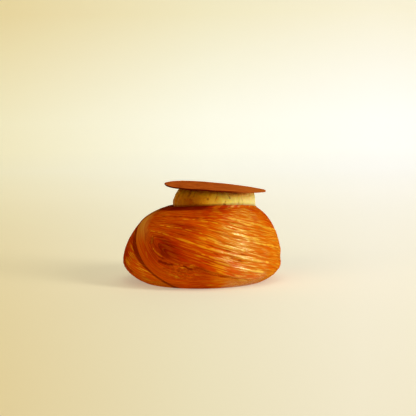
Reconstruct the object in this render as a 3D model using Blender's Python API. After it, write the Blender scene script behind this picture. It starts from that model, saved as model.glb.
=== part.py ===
"""Laminated danish bun with a cream puck and a thin cocoa disc on top.

Metres, +Z up. The origin is on the flat foot, under the middle of the bun's outline, and
the front faces -Y. Angles run round +Z from the front, towards +X. Three wraps of
laminated dough swirl down round the bun, and each one's rounded lip lies over the end
of the wrap before it.
"""

import bmesh
import bpy
from collections import namedtuple
from math import acos, atan2, cos, exp, floor, log, pi, radians, sin, sqrt, tan
from mathutils import Vector

MM = 0.001

# The bun's mean form: half width, heights, and how its sides bow and lean
BUN_HALF_WIDTH = 45.8 * MM
BUN_DEPTH_SHARE = 0.975
BELLY_HEIGHT = 11.2 * MM
CROWN_HEIGHT = 46.5 * MM
CROWN_RISE_POWER = 2.14
CROWN_FULLNESS = 2.8
FOOT_RADIUS = 35.9 * MM
FOOT_ROUNDING = 2.2
LEAN_BASE = -0.5 * MM
LEAN = 5.2 * MM
LEAN_FROM = 15.0 * MM
LEAN_SPAN = 30.0 * MM
LEAN_POWER = 2.6
BELLY_SHIFT = 0.65 * MM
BELLY_SHIFT_HEIGHT = 12.8 * MM
BELLY_SHIFT_SPREAD = 3.6 * MM
FRONT_RISE = 2.75 * MM
FRONT_RISE_AT = radians(10)
FRONT_RISE_POWER = 1.4
LEFT_RISE = 0.5 * MM
RISE_FROM = 24.0 * MM
SHOULDER_TOP = 42.2 * MM

# Where the left side swells: how far out, at which height, and its spread
Swelling = namedtuple("Swelling", "size height spread")
LEFT_SWELLINGS = (
    Swelling(1.1 * MM, 17.0 * MM, 9.0 * MM),
    Swelling(1.0 * MM, 38.0 * MM, 6.0 * MM),
)

# The seat that the cream lies in
SEAT_CENTRE_X = 6.3 * MM
SEAT_RADIUS = 24.5 * MM
SEAT_FLOOR = 42.6 * MM
SEAT_RIM = 43.5 * MM
SEAT_RIM_WIDTH = 0.5 * MM
SEAT_RIM_RIGHT_WIDTH = 0.15 * MM
SEAT_RIM_RIGHT_DROP = 0.6 * MM
SEAT_WALL_LEAN = 0.15
SEAT_RINGS = (1.0, 0.7, 0.35, 0.0)

# The wraps: where each lip meets the foot, the slope of its layers, the lip's width
Wrap = namedtuple("Wrap", "foot_angle ply_slope lip_width")
WRAPS = (
    Wrap(radians(-24.2), radians(16), 11.5 * MM),
    Wrap(radians(168), radians(20), 9.0 * MM),
    Wrap(radians(255), radians(30), 12.0 * MM),
)
SWIRL = radians(-1.5) / MM
TOP_TURN = radians(-8)
TOP_TURN_FROM = 24.0 * MM
LIP_LIFT = 1.1 * MM
LIP_FLANK = 2.6 * MM
LIP_LOW = 3.5 * MM
LIP_BEND = radians(5)
LIP_SLANT = 0.8
LIP_CROWN = 0.3 * MM
LIP_THINS_FROM = -0.35
LIP_THINS_TO = 1.3
LIP_VALLEY = 0.3 * MM
GROOVE_DEPTH = 1.3 * MM
GROOVE_BANK = 0.4
TOP_FADE = 0.8
TOP_FADE_FROM = 0.72

# The laminated layers: steps between plies, which wander and come and go
PLY_SPACING = 6.5 * MM
PLY_STEP = 0.55 * MM
PLY_RISE = 0.8
PLY_WANDER = 0.15
PLY_WANDER_LENGTH = 18.0 * MM
PLY_FADE = 0.4

# The cream
CREAM_RADIUS = 24.0 * MM
CREAM_TOP_RADIUS = 22.4 * MM
CREAM_TOP_SHIFT = 1.6 * MM
CREAM_BULGE = 0.4 * MM
CREAM_LEFT_BULGE = 1.4 * MM
CREAM_WAVER = 0.2 * MM
CREAM_EDGE_LEFT = 3.4 * MM
CREAM_EDGE_RIGHT = 1.2 * MM
CREAM_EDGE_POWER = 1.7

# The disc
DISC_RADIUS = 30.0 * MM
DISC_THICKNESS = 0.9 * MM
DISC_EDGE = 0.35 * MM
DISC_WAVER = 0.25 * MM
DISC_CENTRE = Vector((6.65, 0.0, 55.0)) * MM
DISC_TILT = radians(5.4)
DISC_PITCH = 0.003
DISC_CAMBER = 0.3 * MM
DISC_TWIST = 0.5
DISC_SAG = 0.55 * MM
DISC_SAG_FROM = 12.0 * MM
DISC_DROOP = 0.5 * MM

GAP = 0.3 * MM

# Columns and rows of the surfaces. Extra columns shape each lip.
BUN_COLUMNS = 100
LIP_COLUMNS = tuple(radians(x) for x in (0.0, 1.0, 2.4, 4.6, 7.4))
BUN_FOOT_ROWS, BUN_SIDE_ROWS = 3, 41
BUN_SEAT_ROWS = 2 + len(SEAT_RINGS)
CREAM_COLUMNS = 48
CREAM_FOOT_ROWS, CREAM_SIDE_ROWS, CREAM_TOP_ROWS = 3, 8, 3
DISC_COLUMNS, DISC_FACE_ROWS = 60, 5

Column = namedtuple("Column", "wrap past width")


# ---------------------------------------------------------------- tools


def clear_scene():
    for obj in list(bpy.data.objects):
        bpy.data.objects.remove(obj, do_unlink=True)


def smooth(low, high, x):
    """0 below low, 1 above high, and an S curve between."""
    t = min(1.0, max(0.0, (x - low) / (high - low)))
    return t * t * (3 - 2 * t)


def soft_corner(x, width):
    """0 well below zero, x well above it, and a round bend between."""
    return width * log(1 + exp(x / width)) if x < 20 * width else x


def polar(radius, angle, z, centre_x=0.0):
    """A point at an angle from the front."""
    return Vector((centre_x + radius * sin(angle), -radius * cos(angle), z))


def material(name, colour, roughness):
    made = bpy.data.materials.new(name)
    made.use_nodes = True
    shader = made.node_tree.nodes["Principled BSDF"]
    shader.inputs["Base Color"].default_value = (*colour, 1.0)
    shader.inputs["Roughness"].default_value = roughness
    shader.inputs["Metallic"].default_value = 0.0
    return made


def shaped_sphere(name, columns, rows, point, look, collection):
    """A UV sphere whose vertices move to point(column, row), from the lower pole up."""
    bm = bmesh.new()
    bmesh.ops.create_uvsphere(bm, u_segments=columns, v_segments=rows, radius=1.0)
    for vertex in bm.verts:
        turn = atan2(vertex.co.y, vertex.co.x) / (2 * pi)
        column = round(turn * columns) % columns
        row = round(acos(max(-1.0, min(1.0, -vertex.co.z))) / pi * rows)
        vertex.co = point(column, row)
    mesh = bpy.data.meshes.new(name)
    bm.to_mesh(mesh)
    bm.free()
    mesh.shade_smooth()
    mesh.materials.append(look)
    obj = bpy.data.objects.new(name, mesh)
    collection.objects.link(obj)
    return obj


# ---------------------------------------------------------------- the bun's mean form


def ring_radius(z):
    """The bun's half width at a height."""
    if z < BELLY_HEIGHT:
        below = (BELLY_HEIGHT - z) / BELLY_HEIGHT
        return BUN_HALF_WIDTH - (BUN_HALF_WIDTH - FOOT_RADIUS) * below**FOOT_ROUNDING
    above = (z - BELLY_HEIGHT) / (CROWN_HEIGHT - BELLY_HEIGHT)
    return BUN_HALF_WIDTH * (1 - above**CROWN_RISE_POWER) ** (1 / CROWN_FULLNESS)


def ring_centre(z):
    """The belly stands a little to -X, and the bun leans to +X near its top."""
    above = max(0.0, z - LEAN_FROM) / LEAN_SPAN
    belly = exp(-(((z - BELLY_SHIFT_HEIGHT) / BELLY_SHIFT_SPREAD) ** 2))
    return LEAN_BASE + LEAN * above**LEAN_POWER - BELLY_SHIFT * belly


def wrap_turn(z):
    """How far the wraps have turned at a height, counted from the foot."""
    return SWIRL * z + TOP_TURN * smooth(TOP_TURN_FROM, SHOULDER_TOP, z)


def left_swelling(angle, z):
    """The left side swells a little, low down and at its shoulder."""
    size = sum(s.size * exp(-(((z - s.height) / s.spread) ** 2)) for s in LEFT_SWELLINGS)
    return size * max(0.0, -sin(angle)) ** 2


def crown_rise(angle, z):
    """The crown stands higher at the front, and a little higher at the left."""
    rise = FRONT_RISE * max(0.0, cos(angle - FRONT_RISE_AT)) ** FRONT_RISE_POWER
    rise += LEFT_RISE * max(0.0, -sin(angle)) ** 2
    return rise * smooth(RISE_FROM, SHOULDER_TOP, z)


def side_heights(count, samples=400):
    """Heights of the side's rings, even steps apart along its curve, and its length."""
    fine = [SHOULDER_TOP * i / samples for i in range(samples + 1)]
    along = [0.0]
    for low, high in zip(fine, fine[1:]):
        out = ring_radius(high) - ring_radius(low)
        along.append(along[-1] + sqrt((high - low) ** 2 + out**2))
    heights = []
    for i in range(count + 1):
        wanted = along[-1] * i / count
        place = max(j for j in range(samples) if along[j] <= wanted)
        share = (wanted - along[place]) / (along[place + 1] - along[place])
        heights.append(fine[place] + share * (fine[place + 1] - fine[place]))
    return heights, along[-1]


SIDE_HEIGHTS, SIDE_LENGTH = side_heights(BUN_SIDE_ROWS)


# ---------------------------------------------------------------- the wraps' relief


def wrap_columns():
    """The bun's columns, wrap by wrap, each with its angle past the wrap's own lip."""
    found = []
    for k, wrap in enumerate(WRAPS):
        after = WRAPS[(k + 1) % len(WRAPS)]
        width = (after.foot_angle - wrap.foot_angle) % (2 * pi)
        last = k == len(WRAPS) - 1
        count = BUN_COLUMNS - len(found) if last else round(BUN_COLUMNS * width / (2 * pi))
        even = count - len(LIP_COLUMNS)
        step = (width - LIP_COLUMNS[-1]) / (even + 1)
        places = [LIP_COLUMNS[-1] + step * (i + 1) for i in range(even)]
        found += [Column(wrap, past, width) for past in (*LIP_COLUMNS, *places)]
    return found


WRAP_COLUMNS = wrap_columns()


def lip_distance(angle, z):
    """Distance inward from the lip's edge, which runs down the groove and then level."""
    rise = -1 / SWIRL
    edge = LIP_LOW + rise * soft_corner(-angle - LIP_LOW / rise, LIP_BEND)
    return (z - edge) * LIP_SLANT


def lip_width(wrap, angle):
    """The lip is widest up the groove and thins out along the foot."""
    return wrap.lip_width * (1.02 - smooth(LIP_THINS_FROM, LIP_THINS_TO, angle))


def ply_relief(wrap, angle, along):
    """The stepped edges of the layers, which slope down towards +X."""
    across = along + tan(wrap.ply_slope) * BUN_HALF_WIDTH * angle
    wander = PLY_WANDER * sin(2 * pi * across / PLY_WANDER_LENGTH)
    place = across / PLY_SPACING + wander
    share = place - floor(place)
    step = share if share < PLY_RISE else (1 - share) * PLY_RISE / (1 - PLY_RISE)
    fade = 1 - PLY_FADE + PLY_FADE * sin(2.4 * floor(place) + 1.7 * angle)
    return PLY_STEP * fade * (step - PLY_RISE / 2)


def wrap_lift(column, z, along):
    """How far the dough stands off the bun's mean form."""
    arc = column.past * ring_radius(z)
    rest = (column.width - column.past) * ring_radius(z)
    flank = smooth(0.0, LIP_FLANK, arc)
    lift = LIP_LIFT * (1 - column.past / column.width) * flank
    lift -= GROOVE_DEPTH * (1 - flank)
    lift -= GROOVE_BANK * GROOVE_DEPTH * (1 - smooth(0.0, LIP_FLANK, rest))
    angle = column.past + SWIRL * z
    width = lip_width(column.wrap, angle)
    share = lip_distance(angle, z) / width
    if 0 < share < 1:
        lift += LIP_CROWN * sin(pi * share)
    valley = abs(share - 1) * width / LIP_FLANK
    lift -= LIP_VALLEY * max(0.0, 1 - valley)
    plies = smooth(0.8, 1.3, share) * smooth(0.0, 2 * LIP_FLANK, rest)
    return lift + plies * ply_relief(column.wrap, angle, along)


# ---------------------------------------------------------------- the bun


def side_point(column, row):
    """A point of the bun's side, on ring `row` counted up from the foot."""
    z = SIDE_HEIGHTS[row]
    share = row / BUN_SIDE_ROWS
    angle = column.wrap.foot_angle + column.past + wrap_turn(z)
    fade = smooth(0.0, 2 * MM, z) * (1 - TOP_FADE * smooth(TOP_FADE_FROM, 1.0, share))
    lift = wrap_lift(column, z, SIDE_LENGTH * share) * fade
    upward = 0.7 * smooth(20 * MM, CROWN_HEIGHT, z)
    radius = ring_radius(z) + left_swelling(angle, z)
    point = polar(radius + lift * (1 - upward / 2), angle, z)
    point.y *= BUN_DEPTH_SHARE
    point.x += ring_centre(z)
    point.z += lift * upward + crown_rise(angle, z)
    return point


def seat_point(angle, ring):
    """The seat's rim, its leaning wall, and its flat floor in to the middle."""
    right = max(0.0, sin(angle))
    rim = SEAT_RIM + crown_rise(angle, SEAT_RIM) - SEAT_RIM_RIGHT_DROP * right**4
    width = SEAT_RIM_WIDTH - (SEAT_RIM_WIDTH - SEAT_RIM_RIGHT_WIDTH) * right
    wall_top = SEAT_RADIUS + SEAT_WALL_LEAN * (rim - SEAT_FLOOR)
    places = [(wall_top + width, rim), (wall_top, rim - width)]
    places += [(SEAT_RADIUS * share, SEAT_FLOOR) for share in SEAT_RINGS]
    radius, z = places[ring - 1]
    return polar(radius, angle, z, SEAT_CENTRE_X)


def bun_point(index, row):
    column = WRAP_COLUMNS[index]
    if row <= BUN_FOOT_ROWS:
        return side_point(column, 0) * (row / BUN_FOOT_ROWS)
    row -= BUN_FOOT_ROWS
    if row <= BUN_SIDE_ROWS:
        return side_point(column, row)
    angle = column.wrap.foot_angle + column.past + wrap_turn(SHOULDER_TOP)
    return seat_point(angle, row - BUN_SIDE_ROWS)


# ---------------------------------------------------------------- the cream and the disc


def disc_height(x, y):
    """Height of the disc's middle surface: tilted, a little domed, and lower at the left."""
    dx, dy = x - DISC_CENTRE.x, y - DISC_CENTRE.y
    out = (dx * dx + dy * dy) / DISC_RADIUS**2
    flat = DISC_CENTRE.z - tan(DISC_TILT) * dx - DISC_PITCH * dy - DISC_TWIST * dx * dy
    left = max(0.0, -dx - DISC_SAG_FROM) / (DISC_RADIUS - DISC_SAG_FROM)
    corner = 2 * max(0.0, -dx) * max(0.0, -dy) / DISC_RADIUS**2
    return flat - DISC_CAMBER * (out - 0.5) - DISC_SAG * left**2 - DISC_DROOP * corner**2


def cream_point(index, row):
    angle = 2 * pi * index / CREAM_COLUMNS
    foot = SEAT_FLOOR + GAP
    if row <= CREAM_FOOT_ROWS:
        return polar(CREAM_RADIUS * row / CREAM_FOOT_ROWS, angle, foot, SEAT_CENTRE_X)
    lift = min(1.0, (row - CREAM_FOOT_ROWS) / CREAM_SIDE_ROWS)
    inward = max(0, row - CREAM_FOOT_ROWS - CREAM_SIDE_ROWS) / CREAM_TOP_ROWS
    waver = CREAM_WAVER * (sin(3 * angle + 1) + 0.6 * sin(7 * angle + 2))
    radius = CREAM_RADIUS + (CREAM_TOP_RADIUS - CREAM_RADIUS) * lift
    left = 0.5 - 0.5 * sin(angle)
    radius += (CREAM_BULGE + CREAM_LEFT_BULGE * left + waver) * sin(pi * lift)
    edge = CREAM_EDGE_RIGHT + (CREAM_EDGE_LEFT - CREAM_EDGE_RIGHT) * left
    radius -= edge * (1 - sqrt(1 - lift**CREAM_EDGE_POWER))
    middle = SEAT_CENTRE_X + CREAM_TOP_SHIFT * lift
    point = polar(radius * (1 - inward), angle, 0.0, middle)
    top = disc_height(point.x, point.y) - DISC_THICKNESS / 2 - GAP
    point.z = foot + (top - foot) * lift
    return point


def disc_point(index, row):
    """The lower face from its middle out, the rim, and the upper face back in."""
    angle = 2 * pi * index / DISC_COLUMNS
    rim_radius = DISC_RADIUS + DISC_WAVER * (sin(5 * angle) + 0.5 * sin(11 * angle + 1))
    inner = min(row, 2 * DISC_FACE_ROWS - row) / (DISC_FACE_ROWS - 1)
    on_rim = row == DISC_FACE_ROWS
    radius = rim_radius if on_rim else (rim_radius - DISC_EDGE) * inner
    side = 0.0 if on_rim else 0.5 if row > DISC_FACE_ROWS else -0.5
    point = polar(radius, angle, 0.0)
    point.x = DISC_CENTRE.x + point.x * cos(DISC_TILT)
    point.y += DISC_CENTRE.y
    point.z = disc_height(point.x, point.y) + side * DISC_THICKNESS
    return point


def offset_to_origin(obj):
    """The move that puts the middle of the object's outline on the Z axis."""
    xs = [v.co.x for v in obj.data.vertices]
    ys = [v.co.y for v in obj.data.vertices]
    return Vector((-(min(xs) + max(xs)) / 2, -(min(ys) + max(ys)) / 2, 0.0))


def main():
    clear_scene()
    collection = bpy.data.collections.new("danish_pastry")
    bpy.context.scene.collection.children.link(collection)
    crust = material("baked_crust", (0.42, 0.13, 0.02), 0.35)
    cream = material("nut_cream", (0.68, 0.47, 0.18), 0.55)
    cocoa = material("cocoa", (0.29, 0.085, 0.03), 0.75)
    bun_rows = BUN_FOOT_ROWS + BUN_SIDE_ROWS + BUN_SEAT_ROWS
    cream_rows = CREAM_FOOT_ROWS + CREAM_SIDE_ROWS + CREAM_TOP_ROWS
    disc_rows = 2 * DISC_FACE_ROWS
    pieces = [
        shaped_sphere("bun", BUN_COLUMNS, bun_rows, bun_point, crust, collection),
        shaped_sphere("cream", CREAM_COLUMNS, cream_rows, cream_point, cream, collection),
        shaped_sphere("cocoa_disc", DISC_COLUMNS, disc_rows, disc_point, cocoa, collection),
    ]
    offset = offset_to_origin(pieces[0])
    for piece in pieces:
        for vertex in piece.data.vertices:
            vertex.co += offset


main()
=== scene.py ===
"""Looks of the laminated danish bun: flaky wraps, nut cream and a cocoa disc.

Lengths are in millimetres while a surface is worked out, and in metres once it is a mesh.
Angles run round +Z from the front (-Y), towards +X. The bun's mean form and its wraps
repeat the CAD model's own sizes, so each piece keeps the form of the node it replaces.
"""

from collections import namedtuple
from math import cos, pi, radians, sin, tan
from types import SimpleNamespace

import bpy
import numpy as np
from mathutils import Matrix, Vector


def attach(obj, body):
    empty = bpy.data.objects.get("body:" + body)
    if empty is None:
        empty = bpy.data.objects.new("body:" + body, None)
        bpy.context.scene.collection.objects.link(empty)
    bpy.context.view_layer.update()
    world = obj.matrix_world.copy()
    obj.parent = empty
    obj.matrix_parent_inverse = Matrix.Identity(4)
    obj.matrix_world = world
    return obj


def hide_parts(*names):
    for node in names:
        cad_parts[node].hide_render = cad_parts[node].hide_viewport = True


MM = 0.001

# The bun's mean form
BUN_HALF_WIDTH = 45.8
BUN_DEPTH_SHARE = 0.975
BELLY_HEIGHT = 11.2
CROWN_HEIGHT = 46.5
CROWN_RISE_POWER = 2.14
CROWN_FULLNESS = 2.8
FOOT_RADIUS = 35.9
FOOT_ROUNDING = 2.2
LEAN_BASE = -0.5
LEAN = 5.2
LEAN_FROM = 15.0
LEAN_SPAN = 30.0
LEAN_POWER = 2.6
BELLY_SHIFT = 0.65
BELLY_SHIFT_HEIGHT = 12.8
BELLY_SHIFT_SPREAD = 3.6
FRONT_RISE = 2.75
FRONT_RISE_AT = radians(10)
FRONT_RISE_POWER = 1.4
LEFT_RISE = 0.5
RISE_FROM = 24.0
SHOULDER_TOP = 42.2

# Where the left side swells: how far out, at which height, and its spread
Swelling = namedtuple("Swelling", "size height spread")
LEFT_SWELLINGS = (Swelling(1.1, 17.0, 9.0), Swelling(1.0, 38.0, 6.0))

# The seat that the cream lies in
SEAT_CENTRE_X = 6.3
SEAT_RADIUS = 24.5
SEAT_FLOOR = 42.6
SEAT_RIM = 43.5
SEAT_RIM_WIDTH = 0.5
SEAT_RIM_RIGHT_WIDTH = 0.15
SEAT_RIM_RIGHT_DROP = 0.6
SEAT_WALL_LEAN = 0.15

# A wrap: its groove's angle at the foot, its lip's width, how sharply the layers end beside
# the lip, its mesh's columns, its noise's seed, and what is drawn on it
Wrap = namedtuple("Wrap", "name foot_angle lip_width squeeze columns seed lines strokes")

# The strongest single layers: a layer's height at the far left, where it is level, and where
# it starts and ends along the girth; above 0 pale and raised, below 0 dark and sunk
Line = namedtuple("Line", "height start end strength")
FRONT_LINES = (
    Line(38.1, -43, -20, 0.8),
    Line(41.6, -34, 2, 0.8),
    Line(46.1, -30, 19, 0.9),
    Line(49.05, 14, 75, 1.7),
    Line(37.65, -19, 44, 1.5),
    Line(39.85, -3, 29, 1.4),
    Line(40.8, 19, 32, 0.9),
    Line(43.1, 24, 58, 0.9),
    Line(44.4, 16, 39, 0.9),
    Line(35.4, -3, 14, 1.2),
    Line(34.35, -5, 38, 1.2),
    Line(47.3, -42, 0, -1.0),
    Line(42.6, -34, -4, -0.6),
    Line(38.8, 4, 27, -0.8),
    Line(36.6, 6, 25, -0.8),
    Line(47.7, 14, 45, -0.4),
)

# Cracks, and lines in the lip: from one place to another, both by distance along the girth
# and up the side; above 0 pale and raised, below 0 dark and sunk
Stroke = namedtuple("Stroke", "x along to_x to_along width strength")
FRONT_STROKES = (
    Stroke(-25.5, 21.2, -21.5, 20.0, 0.65, -1.5),
    Stroke(-21.5, 20.0, -17.0, 19.5, 0.50, -1.4),
    Stroke(-26.0, 23.6, -22.8, 22.6, 0.35, -0.8),
    Stroke(-22.0, 17.4, -20.0, 17.2, 0.35, -0.5),
    Stroke(-10.4, 18.9, -8.0, 18.0, 0.40, -0.9),
    Stroke(-7.4, 17.5, -6.0, 17.1, 0.55, -1.3),
    Stroke(-33.6, 30.4, -30.6, 26.6, 0.50, -0.7),
    Stroke(-42.0, 35.5, -36.5, 26.5, 0.60, -0.5),
    Stroke(-35.2, 34.6, -34.0, 31.0, 0.45, 0.6),
    Stroke(-34.0, 31.0, -31.0, 27.6, 0.45, 0.7),
    Stroke(-31.0, 27.6, -24.5, 23.8, 0.45, 0.6),
    Stroke(-39.5, 31.0, -34.0, 23.0, 0.50, 0.4),
    Stroke(-31.6, 34.3, -26.6, 33.9, 0.35, -0.7),
)
WRAPS = (
    Wrap("wrap_front", radians(-24.2), 11.5, 2.5, 324, 11, FRONT_LINES, FRONT_STROKES),
    Wrap("wrap_right", radians(168), 9.0, 1.0, 220, 23, (), ()),
    Wrap("wrap_left", radians(255), 12.0, 1.0, 220, 37, (), ()),
)

# How the wraps swirl round the bun, and how their lips and their far edges stand and sink
SWIRL = radians(-1.5)
TOP_TURN = radians(-8)
TOP_TURN_FROM = 24.0
FLOW_RADIUS = 46.0
LIP_LIFT = 1.1
LIP_ROLL = 1.15
LIP_ROLL_AT = 2.0
LIP_LOW = 3.5
LIP_BEND = radians(5)
LIP_SLANT = 0.8
LIP_CROWN = 0.3
LIP_THINS_FROM = -0.35
LIP_THINS_TO = 1.3
CREASE_DEPTH = 0.3
TAIL_LENGTH = 7.0
TAIL_SINK = 1.6
TOP_FADE = 0.8
TOP_FADE_FROM = 0.72

# How far in from the mean form the surface lies, all round, and how much more at the front
INSET = 0.2
FRONT_INSET = 0.2

# Rows and columns of the wraps' surface
SIDE_ROWS = 264
FOOT_ROWS = 6
ROLL_COLUMNS = 12
TAIL_COLUMNS = 12

# How the layers flow over a wrap: flat near the lip's top, then down to the right
FLOW_START = 23.1
FLOW_SHEAR = 2.55
FLOW_LEVEL = 37.3
FLOW_SLOPE = 0.185
FLOW_BEND = 16.0
FLOW_EASE = 0.078
FLOW_EASE_FROM = 23.5
FLOW_EASE_BEND = 7.0

# Where the layers curl round into the lip: the topmost layer, how round the turn is, and
# how far in the layers beside the lip reach; each wrap's squeeze says how sharply they end
CURL_TOP = 54.0
CURL_ROUNDNESS = 3.0
CURL_REACH = 9.5

# Relief of the layers
PLY_SPACING = 6.5
PLY_STEP = 0.4
PLY_EDGE_AT = 0.86
LINE_WIDTH = 0.22
LINE_HEIGHT = 0.12
LINE_FADE = 3.0
WRINKLE_HEIGHT = 0.22
WRINKLED_UP = (7.0, 11.0, 18.0, 22.0)
WAVE_HEIGHT = 0.15

# Strands side by side: their width, length and height, how wide their crests are as a share
# of the width, how pale the crests and how dark the hollows are, and their noise's seed
Strands = namedtuple("Strands", "width length height crest pale dark seed")
STRANDS = (
    Strands(2.6, 24.0, 0.20, 0.09, 0.20, 0.30, 1),
    Strands(1.2, 14.0, 0.16, 0.13, 0.30, 0.25, 2),
    Strands(0.7, 9.0, 0.11, 0.18, 0.40, 0.25, 3),
)

# The crust's zones, in mm up the side or round from the front: where a zone starts, is
# full, begins to fade and ends, or only the first two
# Painted shade in the groove, its half width growing up the side
GROOVE_SHADE_UP = (15.0, 28.0)
GROOVE_SHADE_HALF_WIDTHS = (2.4, 6.3)
GROOVE_SHADE_BLUR = 0.7
STREAK_UP = (14.0, 20.0, 26.0, 31.0)
STREAK_FROM_GROOVE = 1.8
STREAK_WIDTH = 0.7
# Painted shade along the lip's edge, high up
LIP_EDGE_SHADE_UP = (36.0, 42.0)
# Painted contact shadow at the seat's rim, at the front left under the cream
RIM_SHADE_UP = (51.5, 53.5)
RIM_SHADE_ROUND = (-110.0, -80.0, -13.0, 3.0)
# Painted shade on the left limb, high up
LIMB_SHADE_UP = (35.0, 40.0)
LIMB_SHADE_ROUND = (-100.0, -80.0, -62.0, -58.0)
# Painted shade on the far left side
FAR_LEFT_SHADE_ROUND = (-120.0, -95.0, -84.0, -78.0)
CRINKLED_UP = (9.0, 12.0, 19.0, 22.0)
CRINKLED_ROUND, CRINKLED_SPREAD = -11.0, 10.0
OCHRE_UP = (28.0, 42.0)
OCHRE_ENDS = (-46.0, -32.0)

# Where the crust's tone is darker (below 0) or lighter (above 0), along the girth and up
# the side. A ramp goes from 0 at its start to 1 at its end, also where the end is lower
Bump = namedtuple("Bump", "centre width")
Ramp = namedtuple("Ramp", "start end")
ToneChange = namedtuple("ToneChange", "size x along")
TONE_CHANGES = (
    ToneChange(-0.32, Bump(-23, 12), Bump(28, 8)),
    ToneChange(-0.13, Bump(-8, 20), Ramp(38, 48)),
    ToneChange(-0.10, Ramp(10, -5), Ramp(20, 10)),
    ToneChange(-0.17, Bump(3, 11), Ramp(32, 17)),
    ToneChange(-0.14, Bump(18, 12), Ramp(47, 51)),
    ToneChange(0.05, Ramp(34, 42), Ramp(26, 16)),
    # Painted sheen: more golden where the key's sheen falls
    ToneChange(0.07, Bump(19, 11), Bump(32, 13)),
    ToneChange(-0.13, Bump(12, 12), Ramp(41, 46)),
)

# The cream
CREAM_RADIUS = 24.0
CREAM_TOP_RADIUS = 22.4
CREAM_TOP_SHIFT = 1.6
CREAM_BULGE = 0.4
CREAM_LEFT_BULGE = 1.4
CREAM_WAVER = 0.2
CREAM_EDGE_LEFT = 3.4
CREAM_EDGE_RIGHT = 1.2
CREAM_EDGE_POWER = 1.7
CREAM_MEAN_HEIGHT = 11.0
CREAM_LUMPS = 0.3
CREAM_FOLDS = 0.5
CREAM_PORES = 0.25
CREAM_STROKE_HEIGHT = 0.35
CREAM_FOOT_SHADE = 1.6
CREAM_STROKES = (
    Stroke(-4.9, 6.4, -4.5, 6.2, 0.50, -0.6),
    Stroke(-15.9, 5.8, -15.6, 5.6, 0.40, -0.6),
    Stroke(0.3, 7.7, -0.4, 5.5, 0.30, -0.4),
    Stroke(7.1, 9.3, 8.3, 7.1, 0.35, -0.7),
    Stroke(5.4, 7.8, 5.6, 5.3, 0.28, -0.3),
    Stroke(4.9, 3.7, 5.3, 3.6, 0.55, -1.0),
    Stroke(11.6, 10.4, 14.2, 10.3, 0.55, -1.0),
    Stroke(-18.4, 10.9, -18.0, 7.7, 0.80, -0.8),
    Stroke(-14.6, 10.4, -14.2, 7.7, 0.60, -0.5),
    Stroke(16.0, 8.0, 17.0, 5.5, 0.35, -0.4),
)
CREAM_COLUMNS, CREAM_FOOT_ROWS, CREAM_SIDE_ROWS, CREAM_TOP_ROWS = 640, 4, 84, 10

# The disc
DISC_RADIUS = 30.0
DISC_THICKNESS = 0.9
DISC_WAVER = 0.25
DISC_CENTRE = (6.65, 0.0, 55.0)
DISC_TILT = radians(5.4)
DISC_PITCH = 0.003
DISC_CAMBER = 0.3
DISC_TWIST = 0.0005
DISC_SAG = 0.55
DISC_SAG_FROM = 12.0
DISC_DROOP = 0.5
DISC_GRAIN = 0.04
DISC_WAVES = 0.08
DISC_LOWERED = 0.05
DISC_COLUMNS, DISC_FACE_ROWS, DISC_RIM_ROWS = 560, 36, 8

# The gap under the cream and over it
GAP = 0.3

# Colours that are mixed into the materials' ramps, as linear red, green and blue
OCHRE = (0.66, 0.275, 0.035)
# Dark crevices and cracks, and painted shade on the crust
CREVICE_AND_SHADE = (0.20, 0.010, 0.0002)
# A painted shade tint for the cream's upper side, under the disc
CREAM_SHADE_TINT = (1.0, 0.50, 0.010)
# Cocoa dust and the disc's painted shadow on the cream's top edge
COCOA_DUST_AND_SHADOW = (0.50, 0.05, 0.001)
# Dark marks on the cream, and painted shade in its pores and at its foot
CREAM_MARK_AND_SHADE = (0.24, 0.035, 0.001)
COCOA_GRAIN = (0.58, 0.14, 0.012)
COCOA_RIGHT = (0.60, 0.16, 0.020)
# Painted shade on the disc's underside and lower rim
COCOA_RIM_SHADE = (0.11, 0.008, 0.0005)

# The stage: a round floor, the curve up from it, and the wall's height, in metres
FLOOR_RADIUS = 1.6
COVE_RADIUS = 0.7
WALL_HEIGHT = 1.6
COVE_STEPS = 16
STAGE_COLUMNS = 96

# The camera: where it stands, and where it sees the point it aims at
CAMERA_DISTANCE = 0.7
CAMERA_ELEVATION = radians(7.75)
CAMERA_ROLL = radians(0.9)
AIM_POINT = Vector((8.2, 0.0, 16.0)) * MM
AIM_PIXEL = (215.0, 252.2)
FRAME_PIXELS = 416
FOCAL_PIXELS = 1179.5
SENSOR_WIDTH = 36.0


# ---------------------------------------------------------------- number tools


def smooth(start, end, x):
    """An S curve from 0 at the start to 1 at the end, also where the end is lower."""
    t = np.clip((x - start) / (end - start), 0.0, 1.0)
    return t * t * (3 - 2 * t)


def window(x, start, full, fading, end):
    """0 outside start and end, 1 from full to fading, and S curves between."""
    return smooth(start, full, x) * smooth(end, fading, x)


def soft_ramp(x, width):
    """0 well below zero, x well above it, and a round bend between."""
    return width * np.logaddexp(0.0, x / width)


def bump_at(x, centre, width):
    """1 at the centre, and a bell curve round it."""
    return np.exp(-(((x - centre) / width) ** 2))


def fade(shape, x):
    """A bump's or a ramp's share, from 0 to 1."""
    if isinstance(shape, Bump):
        return bump_at(x, *shape)
    return smooth(*shape, x)


def hashed(ix, iy, iz, seed):
    """A fixed random number from -1 to 1 for each triple of whole numbers."""
    n = ix * np.uint64(374761393) + iy * np.uint64(668265263) + iz * np.uint64(2147483647)
    n = (n + np.uint64(seed * 1442695041)) & np.uint64(0xFFFFFFFF)
    n = ((n ^ (n >> np.uint64(13))) * np.uint64(1274126177)) & np.uint64(0xFFFFFFFF)
    n = n ^ (n >> np.uint64(16))
    return (n & np.uint64(0xFFFF)).astype(float) / 32767.5 - 1


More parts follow.
